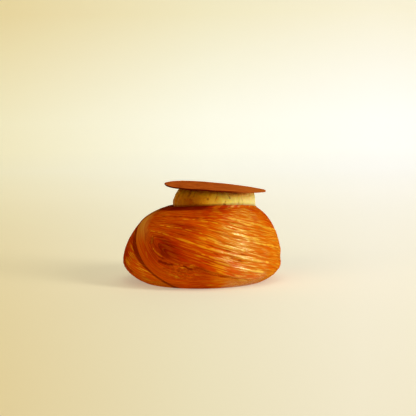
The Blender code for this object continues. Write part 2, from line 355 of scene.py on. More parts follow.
def noise(x, y, seed, z=0.0):
    """Smooth noise from -1 to 1 whose features are about one unit across."""
    cells, parts = [], []
    for value in (x, y, z):
        value = np.asarray(value, float) + 4096
        cell = np.floor(value)
        part = value - cell
        cells.append(cell.astype(np.uint64))
        parts.append(part**3 * (part * (part * 6 - 15) + 10))
    total = 0.0
    for corner in range(8 if np.ndim(z) else 4):
        bits = (corner & 1, corner >> 1 & 1, corner >> 2)
        weight = 1.0
        for bit, part in zip(bits, parts):
            weight = weight * (part if bit else 1 - part)
        near = (cell + np.uint64(bit) for cell, bit in zip(cells, bits))
        total = total + weight * hashed(*near, seed)
    return total


def layered_noise(x, y, seed, octaves=3, z=0.0):
    """Noise with finer noise on top: each octave half the size and half as strong."""
    total, share = 0.0, 1.0
    for k in range(octaves):
        size = 2.0**k
        total = total + share * noise(x * size, y * size, seed + 101 * k, z * size)
        share /= 2
    return total


# ---------------------------------------------------------------- the bun's mean form


def ring_radius(z):
    """Mean radius of the bun's ring at a height: it widens to the belly and then closes."""
    below = np.clip((BELLY_HEIGHT - z) / BELLY_HEIGHT, 0.0, 1.0)
    above = np.clip((z - BELLY_HEIGHT) / (CROWN_HEIGHT - BELLY_HEIGHT), 0.0, 1.0)
    low = BUN_HALF_WIDTH - (BUN_HALF_WIDTH - FOOT_RADIUS) * below**FOOT_ROUNDING
    high = BUN_HALF_WIDTH * (1 - above**CROWN_RISE_POWER) ** (1 / CROWN_FULLNESS)
    return np.where(z < BELLY_HEIGHT, low, high)


def ring_centre(z):
    """X of the ring's middle at a height: the crown leans right and the belly left."""
    above = np.clip(z - LEAN_FROM, 0.0, None) / LEAN_SPAN
    belly = BELLY_SHIFT * bump_at(z, BELLY_SHIFT_HEIGHT, BELLY_SHIFT_SPREAD)
    return LEAN_BASE + LEAN * above**LEAN_POWER - belly


def left_swelling(angle, z):
    """How far the left side stands out beyond its ring."""
    size = sum(s.size * bump_at(z, s.height, s.spread) for s in LEFT_SWELLINGS)
    return size * np.clip(-np.sin(angle), 0.0, None) ** 2


def crown_rise(angle, z):
    """How far the crown's front and left are raised."""
    rise = FRONT_RISE * np.clip(np.cos(angle - FRONT_RISE_AT), 0.0, None) ** FRONT_RISE_POWER
    rise = rise + LEFT_RISE * np.clip(-np.sin(angle), 0.0, None) ** 2
    return rise * smooth(RISE_FROM, SHOULDER_TOP, z)


def seat_rim(angle):
    """Height of the seat's rim, which is lowest at the right."""
    right = np.clip(np.sin(angle), 0.0, None)
    return SEAT_RIM + crown_rise(angle, SEAT_RIM) - SEAT_RIM_RIGHT_DROP * right**4


def side_heights(count):
    """Heights of the side's rings, even steps apart along its curve, and its length."""
    fine = np.linspace(0.0, SHOULDER_TOP, 2001)
    steps = np.hypot(np.diff(fine), np.diff(ring_radius(fine)))
    along = np.concatenate([[0.0], np.cumsum(steps)])
    return np.interp(np.linspace(0.0, along[-1], count + 1), along, fine), along[-1]


def foot_offset(bun):
    """How far the CAD model was moved to centre its outline on the origin, in mm."""
    foot = np.array([v.co for v in bun.data.vertices if v.co.z < 0.01 * MM]) / MM
    middle = (foot.min(axis=0) + foot.max(axis=0)) / 2
    return np.array([middle[0] - LEAN_BASE, middle[1], 0.0])


# ---------------------------------------------------------------- meshes


def grid_mesh(name, points, closed_round, material, values):
    """A closed mesh from rows of points, whose first and last rows are single points.

    A grid that doesn't close round is closed by fans to a point inside it. The values are
    numbers for each point, which the material reads by name.
    """
    rows, columns = points.shape[:2]
    inner = points[1:-1].reshape(-1, 3)
    low, high = len(inner), len(inner) + 1
    extra = [points[0, 0], points[-1, 0]]
    index = np.arange(len(inner)).reshape(rows - 2, columns)
    if closed_round:
        index = np.concatenate([index, index[:, :1]], axis=1)
    a, b = index[:-1, :-1].ravel(), index[:-1, 1:].ravel()
    c, d = index[1:, 1:].ravel(), index[1:, :-1].ravel()
    triangles = [np.stack([a, b, c], 1), np.stack([a, c, d], 1)]
    first, last = index[0], index[-1]
    triangles.append(np.stack([np.full(len(first) - 1, low), first[1:], first[:-1]], 1))
    triangles.append(np.stack([np.full(len(last) - 1, high), last[:-1], last[1:]], 1))
    if not closed_round:
        extra.append((points[0, 0] + points[-1, 0]) / 2)
        middle = high + 1
        left = np.concatenate([[low], index[:, 0], [high]])
        right = np.concatenate([[low], index[:, -1], [high]])
        triangles.append(np.stack([np.full(len(left) - 1, middle), left[:-1], left[1:]], 1))
        triangles.append(np.stack([np.full(len(right) - 1, middle), right[1:], right[:-1]], 1))
    vertices = np.concatenate([inner, np.array(extra)]) * MM
    faces = np.concatenate(triangles)
    mesh = bpy.data.meshes.new(name)
    mesh.vertices.add(len(vertices))
    mesh.vertices.foreach_set("co", vertices.astype(np.float32).ravel())
    mesh.loops.add(len(faces) * 3)
    mesh.loops.foreach_set("vertex_index", faces.astype(np.int32).ravel())
    mesh.polygons.add(len(faces))
    mesh.polygons.foreach_set("loop_start", np.arange(0, len(faces) * 3, 3, dtype=np.int32))
    mesh.update(calc_edges=True)
    mesh.validate()
    mesh.shade_smooth()
    for key, value in values.items():
        layer = mesh.attributes.new(key, "FLOAT", "POINT")
        flat = value[1:-1].ravel()
        full = np.concatenate([flat, np.full(len(extra), flat.mean())])
        layer.data.foreach_set("value", full.astype(np.float32))
    mesh.materials.append(material)
    obj = bpy.data.objects.new(name, mesh)
    bpy.context.scene.collection.objects.link(obj)
    return obj


# ---------------------------------------------------------------- the wraps


def layer_flow(x, along):
    """The coordinate across the layers: each layer lies where it is constant."""
    bend = soft_ramp(x - FLOW_SHEAR * (along - FLOW_LEVEL) + FLOW_START, FLOW_BEND)
    ease = FLOW_EASE * soft_ramp(x - FLOW_EASE_FROM, FLOW_EASE_BEND)
    return along + FLOW_SLOPE * bend - ease


def curled_flow(flow, inward, thinning, squeeze):
    """Layers that come back along the top turn down into the lip, and in again below."""
    from_lip = inward / np.clip(thinning, 0.05, None)
    from_lip = from_lip + squeeze * soft_ramp(from_lip - CURL_REACH, 0.8)
    from_top = CURL_TOP - flow
    return -CURL_ROUNDNESS * np.logaddexp(-from_lip / CURL_ROUNDNESS, -from_top / CURL_ROUNDNESS)


def lip_distance(angle, z):
    """Distance inward from the lip's edge, which runs down the groove and then level."""
    rise = -1 / SWIRL
    edge = LIP_LOW + rise * soft_ramp(-angle - LIP_LOW / rise, LIP_BEND)
    return (z - edge) * LIP_SLANT


def strand_set(kind, curl, length, seed):
    """Round strands side by side: height, then the paleness of crests and the dark between."""
    seed = seed + kind.seed
    wander = noise(curl / (2.3 * kind.width), length / (2 * kind.length), seed)
    place = curl / kind.width + 0.5 * wander
    number = np.floor(place)
    share = place - number
    own = noise(number * 7.31, length / kind.length + 3.7 * number, seed + 5)
    broken = 0.4 + 0.6 * smooth(-0.4, 0.2, noise(number * 3.17, length / 2.2, seed + 6))
    crest_at = 0.5 + 0.12 * np.sin(number * 2.7)
    height = (0.45 + 0.55 * own) * (4 * share * (1 - share) - 0.6)
    pale = smooth(0.0, 0.5, own) * broken * bump_at(share, crest_at, kind.crest)
    dark = smooth(0.05, 0.6, -own) * bump_at(share, crest_at, 1.4 * kind.crest)
    return kind.height * height, kind.pale * pale, kind.dark * dark


def ply_steps(across, x, seed):
    """Stepped edges of the thicker plies: height from 0 to 1, strength, and the edge."""
    place = across / PLY_SPACING + 0.25 * noise(across / 9, x / 60, seed)
    number = np.floor(place)
    share = place - number
    strength = smooth(-0.6, 0.7, noise(number * 5.17, x / 28 + number * 1.3, seed + 3))
    step = np.where(share < PLY_EDGE_AT, share / PLY_EDGE_AT, (1 - share) / (1 - PLY_EDGE_AT))
    return step, strength, strength * bump_at(share, PLY_EDGE_AT, 0.05)


def drawn_lines(lines, flow, x):
    """The strongest single layers: above 0 on a pale ridge, below 0 in a dark crevice."""
    total = 0 * flow
    for line in lines:
        wander = 0.25 * noise(x / 8, line.height, 5)
        starts = smooth(line.start - LINE_FADE, line.start + LINE_FADE, x)
        ends = smooth(line.end + LINE_FADE, line.end - LINE_FADE, x)
        uneven = 0.3 + 0.9 * smooth(-0.4, 0.5, noise(x / 2.4, line.height, 7))
        width = LINE_WIDTH * (0.7 + 0.45 * abs(line.strength))
        on_line = bump_at(flow, line.height + wander, width)
        total = total + line.strength * uneven * starts * ends * on_line
    return total


def drawn_strokes(strokes, x, along):
    """Short cracks and lines, ragged at their edges and round at their ends."""
    total = 0 * x
    ragged = 0.35 * noise(x / 1.1, along / 0.9, 9)
    for stroke in strokes:
        run, rise = stroke.to_x - stroke.x, stroke.to_along - stroke.along
        share = ((x - stroke.x) * run + (along - stroke.along) * rise) / (run * run + rise * rise)
        share = np.clip(share, 0.0, 1.0)
        away = np.hypot(x - stroke.x - share * run, along - stroke.along - share * rise)
        total = total + stroke.strength * bump_at(away + ragged * stroke.width, 0.0, stroke.width)
    return total


def wrap_layout(wrap, width):
    """Where each row and column of a wrap lies, and its distances from the wrap's edges."""
    g = SimpleNamespace()
    heights, side_length = side_heights(SIDE_ROWS)
    g.z = heights[:, None]
    g.along = np.linspace(0.0, side_length, SIDE_ROWS + 1)[:, None]
    g.radius = ring_radius(g.z)
    top_fade = TOP_FADE * smooth(TOP_FADE_FROM, 1.0, g.along / side_length)
    g.fade = smooth(0.0, 2.0, g.z) * (1 - top_fade)
    start = LIP_ROLL_AT / g.radius
    spread = np.linspace(0.0, 1.0, wrap.columns)[None, :] ** 1.25
    body = start + (width - start) * spread
    roll = np.linspace(pi, 0.0, ROLL_COLUMNS + 1)[None, :-1]
    rolled = start - LIP_ROLL * g.fade * np.sin(roll) / g.radius
    tail = width + np.linspace(0.0, 1.0, TAIL_COLUMNS + 1)[None, 1:] * TAIL_LENGTH / g.radius
    past = np.concatenate([rolled, body, tail], axis=1)
    under = LIP_ROLL * (1 - np.cos(roll)) * np.ones_like(g.z)
    g.drop = np.concatenate([under, 0 * body, 0 * tail], axis=1)
    g.angle = past + SWIRL * g.z + TOP_TURN * smooth(TOP_TURN_FROM, SHOULDER_TOP, g.z)
    g.turn = wrap.foot_angle + g.angle
    g.x = FLOW_RADIUS * (g.angle + WRAPS[0].foot_angle)
    g.girth = FLOW_RADIUS * ((g.turn + pi) % (2 * pi) - pi)
    g.flow = layer_flow(g.x, g.along)
    g.share_past = np.clip(past / width, 0.0, 1.0)
    g.rest = (width - past) * g.radius
    g.past_length = past * g.radius
    thinning = 1.02 - smooth(LIP_THINS_FROM, LIP_THINS_TO, g.angle)
    band_width = wrap.lip_width * thinning
    ragged = 0.1 * layered_noise(g.x / 7, g.along / 5, wrap.seed + 40)
    g.inward = lip_distance(past + SWIRL * g.z, g.z)
    g.share = g.inward / band_width + ragged
    g.curl = curled_flow(g.flow, g.inward, thinning, wrap.squeeze)
    g.length = g.x + 0.8 * (g.along - 25)
    g.band = 1 - smooth(0.65, 1.25, g.share)
    g.crease = bump_at(g.share, 1.0, 0.13) * smooth(0.05, 0.2, band_width / wrap.lip_width)
    g.crease = g.crease * smooth(-0.1, 0.6, noise(g.x / 6, g.along / 4, wrap.seed + 50))
    g.drawn = drawn_lines(wrap.lines, g.flow, g.x) + drawn_strokes(wrap.strokes, g.x, g.along)
    return g


def strand_sum(wrap, g):
    """All strands together: relief, paleness and darkness."""
    return sum(np.array(strand_set(kind, g.curl, g.length, wrap.seed)) for kind in STRANDS)


def wrap_relief(wrap, g, strand_relief):
    """Height of the wrap's surface over the bun's mean form, before it fades out."""
    step, strength, _ = ply_steps(g.flow, g.x, wrap.seed)
    panel = 1 - g.band
    relief = panel * PLY_STEP * strength * (step - 0.45) + strand_relief
    relief = relief + LINE_HEIGHT * g.drawn
    wrinkles = layered_noise(g.x / 2.6, g.along / 1.5, wrap.seed + 60)
    wrinkled = window(g.along, *WRINKLED_UP) * window(g.share, 0.3, 0.7, 1.2, 1.8)
    relief = relief + WRINKLE_HEIGHT * wrinkled * wrinkles
    relief = relief + WAVE_HEIGHT * layered_noise(g.x / 14, g.along / 9, wrap.seed + 70, 2)
    relief = INSET - soft_ramp(INSET - relief, 0.06)
    lift = LIP_LIFT * (1 - g.share_past) + LIP_CROWN * np.sin(pi * np.clip(g.share, 0.0, 1.0))
    lift = lift - INSET - FRONT_INSET * np.clip(np.cos(g.turn), 0.0, None) ** 2
    lift = lift - CREASE_DEPTH * g.crease
    lift = lift - TAIL_SINK * (1 - smooth(-TAIL_LENGTH, 3.5, g.rest))
    return lift + relief * smooth(0.0, 2.5, g.rest)


def crust_zones(g):
    """Parts of the crust that look different, each from 0 to 1, and the groove's half width."""
    zones = SimpleNamespace()
    zones.groove = np.interp(g.along, GROOVE_SHADE_UP, GROOVE_SHADE_HALF_WIDTHS)
    crinkled_round = bump_at(g.girth, CRINKLED_ROUND, CRINKLED_SPREAD)
    zones.crinkled = window(g.along, *CRINKLED_UP) * crinkled_round
    # Painted contact shadow at the seat's rim, and painted shade on the left limb
    zones.rim = smooth(*RIM_SHADE_UP, g.along) * window(g.girth, *RIM_SHADE_ROUND)
    zones.limb = smooth(*LIMB_SHADE_UP, g.along) * window(g.girth, *LIMB_SHADE_ROUND)
    zones.behind = smooth(-0.2, -0.6, np.cos(g.turn))
    right = smooth(-12.0, 16.0, g.x + 0.6 * (38 - g.along))
    far_right = smooth(33.0, 43.0, g.x)
    top_left = smooth(43.0, 47.0, g.along) * smooth(22.0, 12.0, g.x)
    zones.busy = (0.2 + 0.6 * right) * (1 - 0.6 * far_right) * (1 - 0.7 * top_left)
    return zones


def crust_paleness(wrap, g, zones, strand_pale):
    """Pale ridges, the lit streak beside the groove, and golden crinkles."""
    _, _, ply_edge = ply_steps(g.flow, g.x, wrap.seed)
    on_panel = (1 - g.band) * zones.busy
    streak = bump_at(g.rest, zones.groove + STREAK_FROM_GROOVE, STREAK_WIDTH)
    streak = streak * window(g.along, *STREAK_UP)
    golden = smooth(0.1, 0.6, layered_noise(g.x / 3.0, g.along / 1.0, wrap.seed + 66, 2))
    pale = (on_panel + 0.35 * g.band) * strand_pale + 0.4 * on_panel * ply_edge
    pale = pale + 1.1 * np.clip(g.drawn, 0.0, None)
    pale = pale + 0.35 * streak + 0.6 * zones.crinkled * golden
    return smooth(0.12, 0.85, pale)


def crust_darkness(wrap, g, zones, strand_dark):
    """Dark crevices, and painted shade in the groove, at and under the lip, in creases, rim and
    limb.
    """
    blur = GROOVE_SHADE_BLUR
    groove = smooth(zones.groove + blur, zones.groove - blur, np.abs(g.rest))
    lip_edge_shade = smooth(5.5, 2.0, g.past_length) * smooth(*LIP_EDGE_SHADE_UP, g.along)
    under_lip_shade = g.drop > 0.5
    mottled = layered_noise(g.x / 1.6, g.along / 1.1, wrap.seed + 65, 2)
    dark = (0.7 - 0.2 * g.band) * strand_dark + 0.8 * np.clip(-g.drawn, 0.0, None)
    # Painted shade in the groove, in creases, along the lip's edge and inside its roll
    dark = dark + 0.85 * groove + 0.5 * g.crease + 0.7 * lip_edge_shade + 0.8 * under_lip_shade
    # Painted contact shadow at the seat's rim, and painted shade on the left limb
    dark = dark + 0.5 * zones.limb + 0.5 * zones.rim
    return dark + 0.45 * zones.crinkled * smooth(0.1, 0.5, np.abs(mottled))


def crust_gloss(wrap, g, zones, dark):
    """The glaze, which shines in patches right of the front and faintly at the back."""
    patches = smooth(-0.4, 0.5, layered_noise(g.length / 12, g.curl / 6, wrap.seed + 90, 2))
    start = 3.0 + 5.0 * smooth(30.0, 42.0, g.along) + 8.0 * smooth(25.0, 16.0, g.along)
    glazed = window(g.girth, start, start + 9.0, 32.0, 46.0)
    matt_top = smooth(43.0, 49.0, g.along) * smooth(30.0, 22.0, g.girth)
    glazed = np.maximum(glazed * (1 - 0.8 * matt_top), 0.2 * zones.behind)
    return (0.5 + 0.5 * patches) * glazed * (1 - 0.9 * np.clip(dark, 0.0, 1.0))


def crust_tone(wrap, g, zones):
    """How golden the crust is, 0 deep brown red to 1 golden: its bake, with painted light and
    shade.
    """
    tone = 0.5 + 0.1 * layered_noise(g.length / 20, g.curl / 4, wrap.seed + 80)
    # Partly its bake and partly painted light: more golden towards the right, where the key falls
    tone = tone + 0.24 * smooth(-8.0, 30.0, g.x) + 0.03 * window(g.x, 20.0, 26.0, 36.0, 42.0)
    for change in TONE_CHANGES:
        tone = tone + change.size * fade(change.x, g.x) * fade(change.along, g.along)
    tone = tone + 0.05 * g.band - 0.18 * smooth(34.0, 24.0, g.rest)
    far_left_shade = window(g.girth, *FAR_LEFT_SHADE_ROUND)
    # Painted shade: darker at the seat's rim and on the far left; lighter at the back
    return tone - 0.45 * zones.rim + 0.12 * zones.behind - 0.20 * far_left_shade


def wrap_values(wrap, g, strand_pale, strand_dark):
    """What the crust's material reads from the mesh."""
    zones = crust_zones(g)
    dark = crust_darkness(wrap, g, zones, strand_dark)
    ochre = g.band * smooth(*OCHRE_UP, g.along) * (1 - smooth(*OCHRE_ENDS, g.x))
    # The fine pale hairlines show most right of the front, through the key's sheen band: partly
    # painted sheen
    fine = (0.28 + 0.72 * smooth(-12.0, 14.0, g.x)) * (1 - 0.55 * smooth(32.0, 42.0, g.x))
    return {
        "pale": crust_paleness(wrap, g, zones, strand_pale),
        "dark": dark,
        "tone": crust_tone(wrap, g, zones),
        "gloss": crust_gloss(wrap, g, zones, dark),
        "fine": fine,
        "ochre": ochre,
        "across": g.curl,
        "flow": g.length,
    }


def spread_rows(value, below, above):
    """A side's values, with its first and last rows repeated below and above it."""
    first = np.repeat(value[:1], below, axis=0)
    last = np.repeat(value[-1:], above, axis=0)
    return np.concatenate([first, value, last])


def wrap_surface(wrap, width):
    """Points of a wrap's surface, in rows from the foot's middle to the seat's middle."""
    g = wrap_layout(wrap, width)
    strand_relief, strand_pale, strand_dark = strand_sum(wrap, g)
    lift = (wrap_relief(wrap, g, strand_relief) - g.drop) * g.fade
    upward = 0.7 * smooth(20.0, CROWN_HEIGHT, g.z)
    out = g.radius + left_swelling(g.turn, g.z) + lift * (1 - upward / 2)
    side = np.stack([
        ring_centre(g.z) + out * np.sin(g.turn),
        -out * BUN_DEPTH_SHARE * np.cos(g.turn),
        np.maximum(g.z + lift * upward + crown_rise(g.turn, g.z), 0.0),
    ], axis=-1)
    foot = [side[:1] * share for share in np.linspace(0.0, 1.0, FOOT_ROWS + 1)[:-1]]

    top_turn = g.turn[-1]
    rim = seat_rim(top_turn)
    thinning = (SEAT_RIM_WIDTH - SEAT_RIM_RIGHT_WIDTH) * np.clip(np.sin(top_turn), 0.0, None)
    rim_width = SEAT_RIM_WIDTH - thinning
    wall_top = SEAT_RADIUS + SEAT_WALL_LEAN * (rim - SEAT_FLOOR)

    def seat_ring(radius, level):
        x = SEAT_CENTRE_X + radius * np.sin(top_turn)
        return np.stack([x, -radius * np.cos(top_turn), level + 0 * top_turn], axis=-1)[None]

    outer = seat_ring(wall_top + rim_width, rim)
    shelf = []
    for share in (0.25, 0.5, 0.75, 1.0):
        row = side[-1:] + (outer - side[-1:]) * share
        row[..., 2] = side[-1:, :, 2] + (outer[..., 2] - side[-1:, :, 2]) * sin(share * pi / 2)
        shelf.append(row)
    inner = [
        seat_ring(wall_top + 0.1 * rim_width, rim - 0.3 * rim_width),
        seat_ring(wall_top, rim - rim_width),
        seat_ring(SEAT_RADIUS, SEAT_FLOOR),
        seat_ring(SEAT_RADIUS * 0.6, SEAT_FLOOR),
        seat_ring(0.0, SEAT_FLOOR),
    ]
    points = np.concatenate(foot + [side] + shelf + inner)
    above = len(shelf) + len(inner)
    values = {}
    for key, value in wrap_values(wrap, g, strand_pale, strand_dark).items():
        values[key] = spread_rows(np.broadcast_to(value, g.angle.shape), FOOT_ROWS, above)
    return points, values


# ---------------------------------------------------------------- cream and disc


def disc_height(x, y):
    """Height of the disc's middle layer: tilted, crowned, and drooping at the left."""
    dx, dy = x - DISC_CENTRE[0], y - DISC_CENTRE[1]
    out = (dx * dx + dy * dy) / DISC_RADIUS**2
    flat = DISC_CENTRE[2] - tan(DISC_TILT) * dx - DISC_PITCH * dy - DISC_TWIST * dx * dy
    left = np.clip(-dx - DISC_SAG_FROM, 0.0, None) / (DISC_RADIUS - DISC_SAG_FROM)
    corner = 2 * np.clip(-dx, 0.0, None) * np.clip(-dy, 0.0, None) / DISC_RADIUS**2
    return flat - DISC_CAMBER * (out - 0.5) - DISC_SAG * left**2 - DISC_DROOP * corner**2


def cream_relief(angle, lift, drawn):
    """Lumps, folds, pores and drawn strokes of the cream's side, and the pores alone."""
    across, deep = CREAM_RADIUS * np.sin(angle), CREAM_RADIUS * np.cos(angle)
    rise = lift * CREAM_MEAN_HEIGHT
    lumps = layered_noise(across / 4, deep / 4, 301, 3, rise / 3.5)
    folds = smooth(0.2, 0.8, noise(across / 2.2, deep / 2.2, 311, rise / 7))
    pores = smooth(0.45, 0.8, noise(across / 0.9, deep / 0.9, 321, rise / 0.8))
    relief = CREAM_LUMPS * lumps - CREAM_FOLDS * folds - CREAM_PORES * pores
    relief = relief + CREAM_STROKE_HEIGHT * drawn
    return relief * smooth(0.0, 0.1, lift) * smooth(0.0, 0.1, 1 - lift), pores


def cream_values(angle, lift, level, drawn, pores):
    """Marks and painted foot shade, dust and painted shadow at the top, and a painted shade tint
    above.
    """
    across, deep = CREAM_RADIUS * np.sin(angle), CREAM_RADIUS * np.cos(angle)
    over_rim = level - seat_rim(angle)
    # Painted contact shadow along the foot, weaker to the right
    foot_shade = smooth(CREAM_FOOT_SHADE, 0.0, over_rim) * (1.0 - 0.45 * smooth(-8.0, 12.0, across))
    # Dark flecks and creases, with painted shade in the pores and at the foot
    marks_and_shade = np.clip(np.clip(-drawn, 0.0, None) + 0.2 * pores + foot_shade, 0.0, 1.0)
    # Cocoa dust on the top edge under the disc, with the disc's painted shadow, less to the right
    ragged = 0.08 * layered_noise(across / 2, deep / 2, 331)
    dust_and_shadow = smooth(0.74, 0.97, lift + ragged) * (1 - 0.8 * smooth(17.0, 23.0, across))
    # deep: a painted shade tint, more saturated up the side under the disc
    return {"marks_and_shade": marks_and_shade, "dust_and_shadow": dust_and_shadow, "deep": smooth(0.45, 0.85, lift) + 0 * angle}


def cream_surface():
    """Points of the cream, in rows from the underside's middle to the top's middle."""
    angle = np.linspace(0.0, 2 * pi, CREAM_COLUMNS, endpoint=False)[None, :]
    foot = SEAT_FLOOR + GAP
    below = np.linspace(0.0, 1.0, CREAM_FOOT_ROWS + 1)[:-1, None]
    lift = np.linspace(0.0, 1.0, CREAM_SIDE_ROWS + 1)[:, None]
    inward = np.linspace(0.0, 1.0, CREAM_TOP_ROWS + 1)[1:, None]
    waver = CREAM_WAVER * (np.sin(3 * angle + 1) + 0.6 * np.sin(7 * angle + 2))
    radius = CREAM_RADIUS + (CREAM_TOP_RADIUS - CREAM_RADIUS) * lift
    left = 0.5 - 0.5 * np.sin(angle)
    radius = radius + (CREAM_BULGE + waver + CREAM_LEFT_BULGE * left) * np.sin(pi * lift)
    edge = CREAM_EDGE_RIGHT + (CREAM_EDGE_LEFT - CREAM_EDGE_RIGHT) * left
    radius = radius - edge * (1 - np.sqrt(1 - lift**CREAM_EDGE_POWER))
    arc = CREAM_RADIUS * ((angle + pi) % (2 * pi) - pi)
    rise = lift * CREAM_MEAN_HEIGHT
    drawn = drawn_strokes(CREAM_STROKES, arc + 0 * lift, rise + 0 * angle)
    relief, pores = cream_relief(angle, lift, drawn)
    radius = radius + relief
    middle = SEAT_CENTRE_X + CREAM_TOP_SHIFT * lift

    def shell(ring, centre, level):
        return np.stack([centre + ring * np.sin(angle), -ring * np.cos(angle), level], axis=-1)

    base = shell(CREAM_RADIUS * below, SEAT_CENTRE_X, foot + 0 * below * angle)
    side = shell(radius, middle, 0 * radius)
    top = shell(radius[-1:] * (1 - inward), middle[-1:], 0 * inward * angle)
    ceiling = disc_height(side[..., 0], side[..., 1]) - DISC_THICKNESS / 2 - GAP
    side[..., 2] = foot + (ceiling - foot) * lift
    top[..., 2] = disc_height(top[..., 0], top[..., 1]) - DISC_THICKNESS / 2 - GAP
    side_values = cream_values(angle, lift, side[..., 2], drawn, pores)
    values = {key: spread_rows(value, len(base), len(top)) for key, value in side_values.items()}
    return np.concatenate([base, side, top]), values


def disc_surface():
    """Points of the disc, in rows from its underside's middle round the rim to the top's."""
    angle = np.linspace(0.0, 2 * pi, DISC_COLUMNS, endpoint=False)[None, :]
    rim = DISC_RADIUS + DISC_WAVER * (np.sin(5 * angle) + 0.5 * np.sin(11 * angle + 1))
    rim = rim + 0.15 * layered_noise(9 * np.sin(angle), 9 * np.cos(angle), 401)
    face = np.linspace(0.0, 1.0, DISC_FACE_ROWS + 1)[:, None]
    turn = np.linspace(-pi / 2, pi / 2, DISC_RIM_ROWS + 2)[1:-1, None]
    half = DISC_THICKNESS / 2
    radius = np.concatenate([
        (rim - half) * face,
        rim - half + half * np.cos(turn),
        (rim - half) * face[::-1],
    ])
    side = np.concatenate([
        np.full_like(face, -half),
        half * np.sin(turn),
        np.full_like(face, half),
    ])
    x = DISC_CENTRE[0] + radius * np.sin(angle) * cos(DISC_TILT)
    y = DISC_CENTRE[1] - radius * np.cos(angle)
    grain = DISC_GRAIN * layered_noise(x / 1.6, y / 1.6, 411, 4)
    waves = DISC_WAVES * noise(x / 9, y / 9, 421) - DISC_LOWERED
    level = disc_height(x, y) + side + waves + np.sign(side) * grain
    # Painted shade on the underside and the lower rim, less towards the right
    shaded = np.where(side < 0.8 * half, 1.0, 0.0) * (1 - 0.7 * smooth(15.0, 25.0, x))
    return np.stack([x, y, level], axis=-1), {"rim": shaded}


# ---------------------------------------------------------------- materials


class Nodes:
    """Short calls for building one material's nodes round its Principled shader."""

    def __init__(self, name):
        self.material = bpy.data.materials.new(name)
        self.material.use_nodes = True
        self.tree = self.material.node_tree
        self.shader = self.tree.nodes["Principled BSDF"]

    def new(self, kind, inputs=None, **settings):
        node = self.tree.nodes.new(kind)
        for key, value in settings.items():
            setattr(node, key, value)
        for key, value in (inputs or {}).items():
            self.feed(node.inputs[key], value)
        return node

    def feed(self, socket, value):
        if isinstance(value, bpy.types.NodeSocket):
            self.tree.links.new(value, socket)
        else:
            socket.default_value = value

    def attribute(self, name):
        return self.new("ShaderNodeAttribute", attribute_name=name).outputs["Fac"]

    def math(self, operation, a, b=0.0, clamp=False):
        node = self.new("ShaderNodeMath", {0: a, 1: b}, operation=operation, use_clamp=clamp)
        return node.outputs[0]

    def texture(self, vector, scale, detail=3.0, roughness=0.55):
        inputs = {"Vector": vector, "Scale": scale, "Detail": detail, "Roughness": roughness}
        return self.new("ShaderNodeTexNoise", inputs).outputs["Fac"]

    def stripes(self, along, across):
        """Soft stripes: a noise stretched along the layers."""
        place = self.new("ShaderNodeCombineXYZ", {0: along, 1: across}).outputs[0]
        return self.texture(place, 1.6, 4.0)

    def hairlines(self, along, across, seed):
        """Thin lines, side by side, on the peaks of a stretched noise."""
        place = self.new("ShaderNodeCombineXYZ", {0: along, 1: across, 2: seed}).outputs[0]
        return self.spread(self.texture(place, 1.0, 2.0, 0.4), 0.51, 0.62)

    def ramp(self, value, stops):
        node = self.new("ShaderNodeValToRGB", {"Fac": value})
        elements = node.color_ramp.elements
        while len(elements) < len(stops):
            elements.new(0.5)
        for element, (place, colour) in zip(elements, stops):
            element.position = place
            element.color = (*colour, 1.0)
        return node.outputs["Color"]

    def spread(self, value, low, high, to_low=0.0, to_high=1.0):
        """The value carried over from one range to another, and kept inside it."""
        inputs = {"Value": value, "From Min": low, "From Max": high}
        inputs.update({"To Min": to_low, "To Max": to_high})
        return self.new("ShaderNodeMapRange", inputs).outputs["Result"]

    def mix(self, share, a, b):
        node = self.new("ShaderNodeMix", data_type="RGBA")
        self.feed(node.inputs["Factor"], share)
        self.feed(node.inputs["A"], (*a, 1.0) if isinstance(a, tuple) else a)
        self.feed(node.inputs["B"], (*b, 1.0) if isinstance(b, tuple) else b)
        return node.outputs["Result"]

    def bump(self, height, strength, distance):
        inputs = {"Height": height, "Strength": strength, "Distance": distance}
        return self.new("ShaderNodeBump", inputs).outputs["Normal"]

    def finish(self, **inputs):
        for key, value in inputs.items():
            self.feed(self.shader.inputs[key.replace("_", " ")], value)
        return self.material


